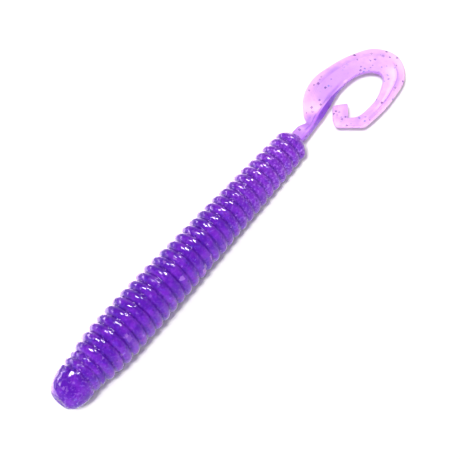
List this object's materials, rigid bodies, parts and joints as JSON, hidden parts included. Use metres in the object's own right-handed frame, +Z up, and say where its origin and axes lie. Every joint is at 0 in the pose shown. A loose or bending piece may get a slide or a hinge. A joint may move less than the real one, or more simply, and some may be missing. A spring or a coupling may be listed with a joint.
{
  "type": "soft plastic worm",
  "caption": "Soft ringed worm lure: rounded nose, tapering ribbed body and a flat curled tail blade, flexing along its length.",
  "frame": {"origin": "centre of the flat nose face, on the body's axis", "axes": "+X along the body from nose to tail, +Z up, with the ring crests lying on a flat surface 5.03 mm below the origin and the tail blade level 2.2 mm above that surface; the tail curls round towards -Y"},
  "size_m": [0.1004, 0.0159, 0.01],
  "materials": {
    "body_violet": "glossy translucent soft plastic, violet with glitter flakes",
    "tail_lilac": "glossy see-through soft plastic, lilac with sparse dark flakes"
  },
  "bodies": {
    "nose": {"nose": "body_violet"},
    "ring_band_1": {"ring_band_1": "body_violet"},
    "ring_band_2": {"ring_band_2": "body_violet"},
    "ring_band_3": {"ring_band_3": "body_violet"},
    "ring_band_4": {"ring_band_4": "body_violet"},
    "ring_band_5": {"ring_band_5": "body_violet"},
    "ring_band_6": {"ring_band_6": "body_violet"},
    "tail_stem": {"tail_stem": "tail_lilac"},
    "fin_root": {"fin_root": "tail_lilac"},
    "fin_middle": {"fin_middle": "tail_lilac"},
    "curl_outer": {"curl_outer": "tail_lilac"},
    "curl_return": {"curl_return": "tail_lilac"},
    "curl_hook": {"curl_hook": "tail_lilac"},
    "curl_tip": {"curl_tip": "tail_lilac"}
  },
  "joints": [
    {"name": "body_side_1", "type": "hinge", "parent": "nose", "child": "ring_band_1", "pos_m": [0.01745, 0, 0], "axis": [0.0087, 0, 1], "range_deg": [-12, 12], "stiffness_Nm_per_rad": 0.00506},
    {"name": "body_lift_1", "type": "hinge", "parent": "ring_band_1", "child": "ring_band_2", "pos_m": [0.02625, 0, -0.00008], "axis": [0.014, -0.9999, 0], "range_deg": [0, 12], "stiffness_Nm_per_rad": 0.00469},
    {"name": "body_side_2", "type": "hinge", "parent": "ring_band_2", "child": "ring_band_3", "pos_m": [0.03505, 0, -0.00031], "axis": [0.0287, 0, 0.9996], "range_deg": [-12, 12], "stiffness_Nm_per_rad": 0.00378},
    {"name": "body_lift_2", "type": "hinge", "parent": "ring_band_3", "child": "ring_band_4", "pos_m": [0.04385, 0, -0.00058], "axis": [0.014, -0.9999, 0], "range_deg": [0, 12], "stiffness_Nm_per_rad": 0.00287},
    {"name": "body_side_3", "type": "hinge", "parent": "ring_band_4", "child": "ring_band_5", "pos_m": [0.05265, 0, -0.00088], "axis": [0.0354, 0, 0.9994], "range_deg": [-12, 12], "stiffness_Nm_per_rad": 0.00207},
    {"name": "body_lift_3", "type": "hinge", "parent": "ring_band_5", "child": "ring_band_6", "pos_m": [0.06145, 0, -0.0012], "axis": [0.014, -0.9999, 0], "range_deg": [0, 12], "stiffness_Nm_per_rad": 0.00142},
    {"name": "stem_swing", "type": "hinge", "parent": "ring_band_6", "child": "tail_stem", "pos_m": [0.073, 0, -0.00163], "axis": [0.0349, 0, 0.9994], "range_deg": [-25, 25], "stiffness_Nm_per_rad": 0.0001},
    {"name": "tail_flap_1", "type": "hinge", "parent": "tail_stem", "child": "fin_root", "pos_m": [0.07777, 0.0008, -0.00169], "axis": [0.4854, -0.8743, 0], "range_deg": [0, 20], "stiffness_Nm_per_rad": 0.000022},
    {"name": "tail_flap_2", "type": "hinge", "parent": "fin_root", "child": "fin_middle", "pos_m": [0.0855, 0.0034, -0.00198], "axis": [0.046, -0.9989, 0], "range_deg": [0, 20], "stiffness_Nm_per_rad": 0.000018},
    {"name": "tail_flap_3", "type": "hinge", "parent": "fin_middle", "child": "curl_outer", "pos_m": [0.09415, 0.00135, -0.00228], "axis": [-0.5224, -0.8527, 0], "range_deg": [0, 20], "stiffness_Nm_per_rad": 0.0000073},
    {"name": "tail_flap_4", "type": "hinge", "parent": "curl_outer", "child": "curl_return", "pos_m": [0.09717, -0.00459, -0.00233], "axis": [-0.8946, 0.4469, 0], "range_deg": [0, 10], "stiffness_Nm_per_rad": 0.0000062},
    {"name": "tail_flap_5", "type": "hinge", "parent": "curl_return", "child": "curl_hook", "pos_m": [0.0892, -0.00812, -0.00233], "axis": [-0.0578, 0.9983, 0], "range_deg": [0, 10], "stiffness_Nm_per_rad": 0.0000036},
    {"name": "tail_flap_6", "type": "hinge", "parent": "curl_hook", "child": "curl_tip", "pos_m": [0.08153, -0.00657, -0.00233], "axis": [0.6736, 0.7391, 0], "range_deg": [0, 10], "stiffness_Nm_per_rad": 0.0000046}
  ]
}
